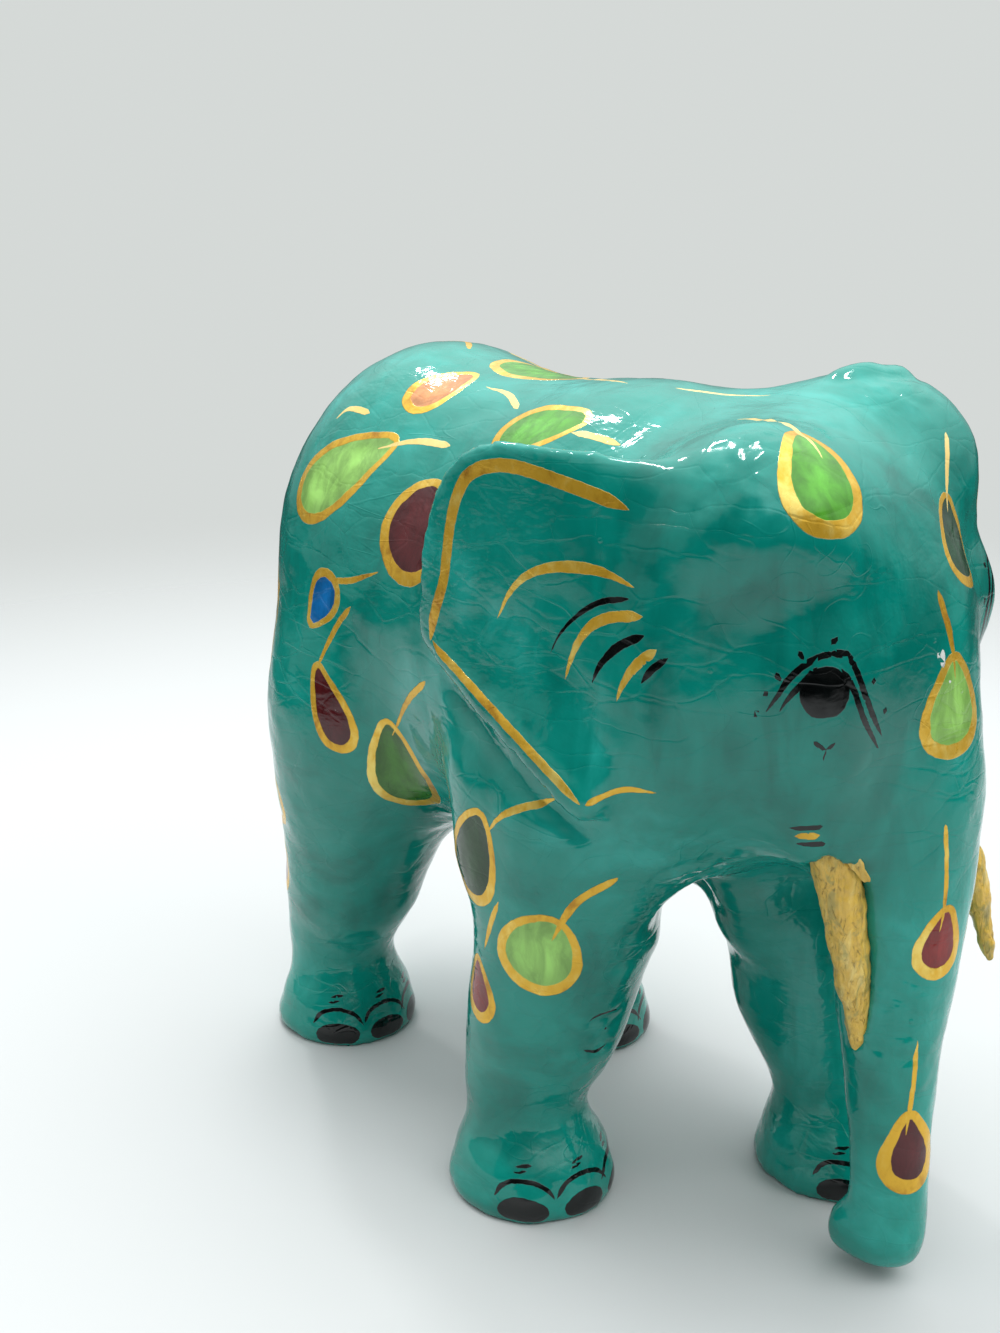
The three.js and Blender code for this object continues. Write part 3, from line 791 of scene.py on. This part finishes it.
def paper_skin():
    """Pasted paper under paint: edges of torn strips, wrinkles and grit, as a height in mm."""
    group = bpy.data.node_groups.new("paper_skin", "ShaderNodeTree")
    for name, kind, way in [("Place", "NodeSocketVector", "INPUT"),
                            ("Strips", "NodeSocketFloat", "INPUT"),
                            ("Wrinkles", "NodeSocketFloat", "INPUT"),
                            ("Height", "NodeSocketFloat", "OUTPUT")]:
        group.interface.new_socket(name=name, in_out=way, socket_type=kind)
    n = Nodes(group)
    given = n.put("NodeGroupInput").outputs
    warp = n.put("ShaderNodeTexNoise", {"Vector": given["Place"], "Scale": 22.0, "Detail": 3.0})
    bent = n.put("ShaderNodeMix", {"Factor": 0.018}, data_type="VECTOR")
    n.join(given["Place"], bent.inputs[4])
    n.join(warp.outputs["Color"], bent.inputs[5])
    bent = bent.outputs[1]
    height = 0.0
    for scale, turn, rise in [(13.0, (20, 35, 10), 0.22), (21.0, (70, 10, 50), 0.16)]:
        spread = n.mapped(bent, (1, 1, 2.2), turn)
        cells = n.put("ShaderNodeTexVoronoi", {"Vector": spread, "Scale": scale}, feature="F1")
        edges = n.put("ShaderNodeTexVoronoi", {"Vector": spread, "Scale": scale},
                      feature="DISTANCE_TO_EDGE")
        shade = n.put("ShaderNodeSeparateColor", {"Color": cells.outputs["Color"]})
        height = n.math("MULTIPLY_ADD", shade.outputs[0], rise, height)
        height = n.math("MULTIPLY_ADD", n.ramp(edges.outputs["Distance"], 0.0, 0.04), 0.06, height)
    strips = n.math("MULTIPLY", height, given["Strips"])
    rough_area = n.ramp(n.noise(given["Place"], 9.0, 3.0), 0.42, 0.64)
    buckled = n.noise(n.mapped(given["Place"], (1, 0.7, 1), (15, 0, 40)), 58.0, 3.0, 0.55, 0.4)
    buckled = n.math("MULTIPLY", buckled, n.blend(rough_area, 0.35, 1.0))
    crinkled = n.noise(n.mapped(given["Place"], (1, 0.6, 1), (60, 20, 0)), 150.0, 2.0, 0.5)
    crinkled = n.math("MULTIPLY", crinkled, rough_area)
    brushed = n.noise(n.mapped(given["Place"], (1, 1, 0.4), (35, 20, 0)), 210.0, 3.0, 0.6)
    crease = 0.0
    for turn, scale in [((25, -30, 15), 34.0), ((70, 15, -40), 42.0)]:
        folds = n.noise(n.mapped(given["Place"], (1.0, 0.22, 1.0), turn), scale, 1.0, 0.4)
        ridge = n.math("ABSOLUTE", n.math("SUBTRACT", folds, 0.5))
        crease = n.math("ADD", n.ramp(ridge, 0.0, 0.012, 1.0, 0.0), crease)
    crease = n.math("MULTIPLY", crease, n.ramp(n.noise(given["Place"], 17.0), 0.50, 0.62))
    dots = n.put("ShaderNodeTexVoronoi", {"Vector": given["Place"], "Scale": 60.0}, feature="F1")
    chosen = n.put("ShaderNodeSeparateColor", {"Color": dots.outputs["Color"]}).outputs[1]
    bubble = n.math("MULTIPLY", n.ramp(dots.outputs["Distance"], 0.03, 0.09, 1.0, 0.0),
                    n.ramp(chosen, 0.86, 0.88))
    wrinkles = n.math("MULTIPLY_ADD", crease, 0.09, n.math("MULTIPLY", buckled, 0.95))
    wrinkles = n.math("MULTIPLY_ADD", crinkled, 0.42, wrinkles)
    wrinkles = n.math("MULTIPLY_ADD", brushed, 0.04, wrinkles)
    wrinkles = n.math("MULTIPLY_ADD", bubble, 0.22, wrinkles)
    wrinkles = n.math("MULTIPLY", wrinkles, given["Wrinkles"])
    result = n.math("ADD", strips, wrinkles)
    n.put("NodeGroupOutput", {"Height": result})
    return group


PAPER_SKIN = paper_skin()


def new_material(name):
    material = bpy.data.materials.new(name)
    material.use_nodes = True
    material.node_tree.nodes.clear()
    return material, Nodes(material.node_tree)


def put_on(piece, material):
    piece.data.materials.clear()
    piece.data.materials.append(material)


def varnished_paint():
    material, n = new_material("varnished_paint")
    place = n.put("ShaderNodeTexCoord").outputs["Object"]

    # Teal, brushed on thinly in places, in soft streaks that change direction over the body.
    broad = n.noise(place, 8.0, 4.0, 0.6, 0.5)
    swept = n.noise(n.mapped(place, (1, 0.35, 1), (25, 0, 0)), 38.0, 4.0, 0.6, 0.6)
    upright = n.noise(n.mapped(place, (1, 1, 0.35), (0, 18, 0)), 38.0, 4.0, 0.6, 0.6)
    streaks = n.blend(n.ramp(n.noise(place, 6.0), 0.42, 0.58), swept, upright)
    depth = n.math("MULTIPLY_ADD", broad, 0.62, n.math("MULTIPLY", streaks, 0.38))
    teal = n.mix(n.ramp(depth, 0.36, 0.52), TEAL_DEEP, TEAL)
    teal = n.mix(n.ramp(depth, 0.50, 0.68, 0.0, 0.8), teal, TEAL_PALE)

    # Gold, thick and streaky.
    gold_streak = n.noise(n.mapped(place, (1, 1, 0.6), (40, 30, 0)), 170.0, 3.0, 0.6, 0.4)
    gold_broad = n.noise(place, 22.0, 2.0)
    gold_tone = n.math("MULTIPLY_ADD", gold_streak, 0.4, n.math("MULTIPLY", gold_broad, 0.6))
    gold_colour = n.mix(n.ramp(gold_tone, 0.30, 0.48), GOLD_DARK, GOLD)
    gold_colour = n.mix(n.ramp(gold_tone, 0.48, 0.68), gold_colour, GOLD_PALE)

    # Drops: fill, then ring.
    drop_at = n.put("ShaderNodeSeparateXYZ", {0: n.attribute("drop_at").outputs["Vector"]})
    along_drop, past_edge = drop_at.outputs[0], drop_at.outputs[1]
    edge_wobble = n.math("MULTIPLY", n.math("SUBTRACT", n.noise(place, 120.0, 2.0), 0.5), 1.6)
    depth_in = n.math("ADD", past_edge, edge_wobble)
    ring_width = n.attribute("drop_ring").outputs["Fac"]
    low_end = n.math("MULTIPLY_ADD", along_drop, -0.22, 1.0)
    outer = n.math("SUBTRACT", n.math("MULTIPLY", ring_width, low_end),
                   n.math("ADD", past_edge, n.math("MULTIPLY", edge_wobble, 0.9)))
    in_fill = n.ramp(depth_in, -0.25, 0.25, 1.0, 0.0)
    in_ring = n.math("MULTIPLY", n.ramp(outer, -0.25, 0.25),
                     n.math("GREATER_THAN", ring_width, 0.5))
    fill = n.attribute("drop_fill").outputs["Color"]
    fill_streak = n.noise(n.mapped(place, (1, 1, 0.35), (0, 20, 0)), 110.0, 4.0, 0.6, 0.5)
    centre_light = n.ramp(past_edge, -13.0, -1.0, 1.15, 0.82)
    fill_tone = n.math("MULTIPLY", n.ramp(fill_streak, 0.3, 0.7, 0.75, 1.25), centre_light)
    fill = n.put("ShaderNodeVectorMath", {0: fill, "Scale": fill_tone},
                 operation="SCALE").outputs[0]
    colour = n.mix(in_ring, teal, gold_colour)
    colour = n.mix(in_fill, colour, fill)

    # Strokes on top.
    stroke_at = n.put("ShaderNodeSeparateXYZ", {0: n.attribute("stroke_at").outputs["Vector"]})
    ink = n.attribute("stroke_ink").outputs["Fac"]
    across = n.math("ABSOLUTE", stroke_at.outputs[0])
    ragged = n.math("MULTIPLY", n.math("SUBTRACT", n.noise(place, 260.0, 2.0), 0.5), 0.9)
    inside = n.math("ADD", n.math("SUBTRACT", stroke_at.outputs[1], across), ragged)
    in_stroke = n.ramp(inside, -0.12, 0.18)
    is_gold = n.math("MULTIPLY", n.math("COMPARE", ink, GOLD_INK, 0.1), in_stroke)
    is_black = n.math("MULTIPLY", n.math("COMPARE", ink, BLACK_INK, 0.1), in_stroke)
    is_chalk = n.math("MULTIPLY", n.math("COMPARE", ink, CHALK_INK, 0.1), in_stroke)
    is_highlit_gold = n.math("MULTIPLY", n.math("COMPARE", ink, HIGHLIT_GOLD_INK, 0.1), in_stroke)
    colour = n.mix(is_gold, colour, gold_colour)
    # Gold stems with a painted highlight: gold lightened up to its brightest.
    colour = n.mix(is_highlit_gold, colour, n.mix(gold_tone, GOLD, GOLD_HIGHLIGHT))
    colour = n.mix(is_black, colour, BLACK)
    colour = n.mix(is_chalk, colour, CHALK)

    # Gold has some metal in it, and all of it lies under varnish.
    ring_only = n.math("MULTIPLY", in_ring, n.math("SUBTRACT", 1.0, in_fill))
    gold_share = n.math("MAXIMUM", is_gold, n.math("MULTIPLY", ring_only,
                                                   n.math("SUBTRACT", 1.0, is_black)))
    painted = n.math("MAXIMUM", n.math("MAXIMUM", in_ring, in_fill), in_stroke)
    skin_height = n.put("ShaderNodeGroup", {"Place": place, "Strips": 1.0, "Wrinkles": 1.0},
                        node_tree=PAPER_SKIN).outputs["Height"]
    height = n.math("MULTIPLY_ADD", painted, 0.10, skin_height)
    height = n.math("MULTIPLY_ADD", gold_streak, n.math("MULTIPLY", gold_share, 0.15), height)
    bump = n.put("ShaderNodeBump", {"Height": n.math("MULTIPLY", height, MM), "Distance": 1.0,
                                    "Strength": 1.0})
    rough = n.math("MULTIPLY_ADD", streaks, 0.10, 0.05)
    rough = n.math("MULTIPLY_ADD", gold_share, 0.16, rough)
    shader = n.put("ShaderNodeBsdfPrincipled", {
        "Base Color": colour, "Metallic": n.math("MULTIPLY", gold_share, 0.45),
        "Roughness": rough, "Normal": bump.outputs[0], "IOR": 1.5})
    n.put("ShaderNodeOutputMaterial", {"Surface": shader.outputs[0]})
    return material


def tusk_paper():
    material, n = new_material("tusk_paper")
    place = n.put("ShaderNodeTexCoord").outputs["Object"]
    broad = n.noise(n.mapped(place, (1, 1, 0.5)), 60.0, 3.0, 0.6)
    fine = n.noise(n.mapped(place, (1, 1, 0.22)), 230.0, 4.0, 0.6, 0.5)
    tone = n.math("MULTIPLY_ADD", broad, 0.5, n.math("MULTIPLY", fine, 0.5))
    # Patches of greenish grey painted shade.
    shade_patches = n.noise(n.mapped(place, (1, 1, 0.6)), 95.0, 3.0, 0.6, 0.8)
    crease = n.ramp(n.noise(n.mapped(place, (1, 1, 0.45)), 300.0, 5.0, 0.7, 1.6), 0.56, 0.70)
    colour = n.mix(n.ramp(tone, 0.32, 0.46), TUSK_DARK, TUSK_YELLOW)
    colour = n.mix(n.ramp(tone, 0.5, 0.66), colour, TUSK_PALE)
    colour = n.mix(n.ramp(shade_patches, 0.5, 0.64, 0.0, 0.6), colour, TUSK_PAINTED_SHADE)
    # The creases are darkened with painted shade, in the same places where the bump sinks them.
    colour = n.mix(n.math("MULTIPLY", crease, 0.55), colour, TUSK_CREASE_SHADE)
    skin_height = n.put("ShaderNodeGroup", {"Place": place, "Strips": 0.6, "Wrinkles": 1.2},
                        node_tree=PAPER_SKIN).outputs["Height"]
    height = n.math("MULTIPLY_ADD", fine, 3.2, skin_height)
    height = n.math("MULTIPLY_ADD", crease, -0.5, height)
    bump = n.put("ShaderNodeBump", {"Height": n.math("MULTIPLY", height, MM),
                                    "Distance": 1.0, "Strength": 1.0})
    shader = n.put("ShaderNodeBsdfPrincipled", {
        "Base Color": colour, "Roughness": n.ramp(fine, 0.3, 0.7, 0.35, 0.55),
        "Normal": bump.outputs[0], "Coat Weight": 0.35, "Coat Roughness": 0.2})
    n.put("ShaderNodeOutputMaterial", {"Surface": shader.outputs[0]})
    return material


put_on(body, varnished_paint())
TUSK_PAPER = tusk_paper()


# ---------------------------------------------------------------- tusks
CRUMPLE = cloud("crumple", 15, 1)
PUCKER = cloud("pucker", 5, 1)
CRUMPLE_RISE, PUCKER_RISE = 3.0, 1.5
TIP_REACH = 34                  # how much of a tusk is drawn out with its tip
TIP_DRAW = (2.0, -1.5, -4.5)    # on the right tusk; the left one's goes the other way in x
ROOT_LEVEL = 236                # the height at which the right tusk's loose scrap hangs


def torn_flap(root):
    """A strip of paper, about 8 by 25 mm, that has come loose at a root and hangs aside."""
    bpy.ops.object.select_all(action="DESELECT")
    bpy.ops.mesh.primitive_grid_add(x_subdivisions=6, y_subdivisions=14, size=1)
    flap = bpy.context.active_object
    flap.name = "torn_flap"
    points = read(flap.data.vertices, "co", 3)
    across, down = points[:, 0] + 0.5, 0.5 - points[:, 1]
    narrow = 1 - 0.6 * np.clip(down - 0.35, 0, 1) / 0.65
    torn = 1 + 0.12 * np.sin(down * 23) + 0.08 * np.sin(down * 41 + 1)
    width = (across - 0.3) * 8 * narrow * torn
    aside = 15 * down + 0.8 * width
    lifted = 5 * down ** 0.5 + 3 * across ** 2
    x = root[0] + 0.80 * aside - 0.59 * lifted
    y = root[1] - 0.59 * aside - 0.80 * lifted
    z = root[2] - 20 * down + 0.6 * width
    put_places(flap, np.column_stack([x, y, z]))
    finish_with(flap, "SOLIDIFY", thickness=0.8 * MM, offset=0.0)
    finish_with(flap, "SUBSURF", levels=1, render_levels=1)
    return flap


def make_tusk(node):
    tusk = merged_copy(node, "paper_" + node)
    finish_with(tusk, "SUBSURF", levels=4, render_levels=4)
    points = places(tusk)
    tip = points[points[:, 2].argmin()]
    share = np.clip(1 - np.linalg.norm(points - tip, axis=1) / TIP_REACH, 0, 1) ** 1.5
    inward = 1 if tip[0] < 0 else -1
    points += share[:, None] * (inward * TIP_DRAW[0], *TIP_DRAW[1:])
    put_places(tusk, points)
    press(tusk, CRUMPLE, CRUMPLE_RISE)
    press(tusk, PUCKER, PUCKER_RISE)
    if node == "tusk_right":
        root = places(tusk)
        root = root[np.abs(root[:, 2] - ROOT_LEVEL) < 8].mean(axis=0)
        tusk = join([tusk, torn_flap(root + (-4, -6, 7))], tusk.name)
    only(tusk)
    bpy.ops.object.shade_smooth()
    put_on(tusk, TUSK_PAPER)
    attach(tusk, "root")
    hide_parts(node)


make_tusk("tusk_right")
make_tusk("tusk_left")

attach(body, "root")
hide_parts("body")

# ---------------------------------------------------------------- floor, light, camera
scene = bpy.context.scene
bpy.ops.object.select_all(action="DESELECT")
bpy.ops.mesh.primitive_plane_add(size=8)
floor = bpy.context.active_object
floor.name = "floor"
pale, pale_nodes = new_material("pale_floor")
floor_place = pale_nodes.put("ShaderNodeTexCoord").outputs["Object"]
out_from_middle = pale_nodes.put("ShaderNodeVectorMath", {0: floor_place},
                                 operation="LENGTH").outputs["Value"]
pale_shader = pale_nodes.put("ShaderNodeBsdfPrincipled", {
    "Base Color": FLOOR, "Roughness": 0.6,
    "Alpha": pale_nodes.ramp(out_from_middle, 0.65, 1.8, 1.0, 0.0)})
pale_nodes.put("ShaderNodeOutputMaterial", {"Surface": pale_shader.outputs[0]})
put_on(floor, pale)

# The room is pale where it is seen. Where it lights, it is dim below and bright above, with a
# darker end in front and a darker side on the right, which the varnish mirrors.
FRONT_WAY = (-0.45, -0.89, 0.0)
RIGHT_WAY = (-0.97, 0.22, 0.0)
world = bpy.data.worlds.new("pale_room")
scene.world = world
world.use_nodes = True
world.node_tree.nodes.clear()
room = Nodes(world.node_tree)
seen = room.put("ShaderNodeBackground", {"Color": WALL, "Strength": 1.0})
way = room.put("ShaderNodeTexCoord").outputs["Generated"]
upwards = room.put("ShaderNodeSeparateXYZ", {0: way}).outputs["Z"]
to_front = room.put("ShaderNodeVectorMath", {0: way, 1: FRONT_WAY},
                    operation="DOT_PRODUCT").outputs["Value"]
dark_end = room.math("MULTIPLY", room.ramp(to_front, 0.0, 0.6),
                     room.ramp(upwards, 0.2, 0.6, 1.0, 0.0))
glow = room.ramp(upwards, 0.0, 0.9, 0.40, 2.50)
glow = room.math("MULTIPLY", glow, room.math("MULTIPLY_ADD", dark_end, -0.80, 1.0))
to_side = room.put("ShaderNodeVectorMath", {0: way, 1: RIGHT_WAY},
                   operation="DOT_PRODUCT").outputs["Value"]
glow = room.math("MULTIPLY", glow, room.ramp(to_side, 0.1, 0.8, 1.0, 0.45))
glow = room.math("MULTIPLY", glow, room.ramp(upwards, -0.12, 0.0, 0.12, 1.0))
lighting = room.put("ShaderNodeBackground", {"Color": ROOM_LIGHT, "Strength": glow})
either = room.put("ShaderNodeMixShader", {
    0: room.put("ShaderNodeLightPath").outputs["Is Camera Ray"],
    1: lighting.outputs[0], 2: seen.outputs[0]})
room.put("ShaderNodeOutputWorld", {"Surface": either.outputs[0]})


def soft_light(name, place, aim, size, power, mirrored=True):
    bpy.ops.object.light_add(type="AREA", location=place)
    light = bpy.context.active_object
    light.name = name
    light.visible_camera = False
    light.visible_glossy = mirrored
    light.data.shape = "RECTANGLE"
    light.data.size, light.data.size_y = size
    light.data.energy = power
    light.rotation_euler = (Vector(aim) - Vector(place)).to_track_quat("-Z", "Y").to_euler()


soft_light("side_panel", (-1.6, 0.9, 0.9), (0, 0, 0.25), (2.2, 1.8), 3)
soft_light("front_panel", (0.6, -1.3, 1.7), (0, 0, 0.25), (1.2, 0.8), 9, mirrored=False)
soft_light("lamp", (0.2, 1.1, 1.7), (0, 0, 0.3), (0.14, 0.14), 5)
soft_light("strip_lamp", (-0.05, 0.3, 1.9), (0, 0, 0.3), (0.8, 0.09), 11)

CAMERA_PLACE = (-0.5775, -0.7041, 0.550)
CAMERA_DOWN = 17                # degrees below level
CAMERA_TURN = 36.5              # degrees that its look is turned, from straight at the front
FOCAL_LENGTH = 45.9
lens = bpy.data.cameras.new("camera")
camera = bpy.data.objects.new("camera", lens)
scene.collection.objects.link(camera)
lens.sensor_width = 36
lens.lens = FOCAL_LENGTH
camera.location = CAMERA_PLACE
camera.rotation_euler = (math.radians(90 - CAMERA_DOWN), 0, math.radians(-CAMERA_TURN))
scene.camera = camera
scene.view_settings.view_transform = "Standard"
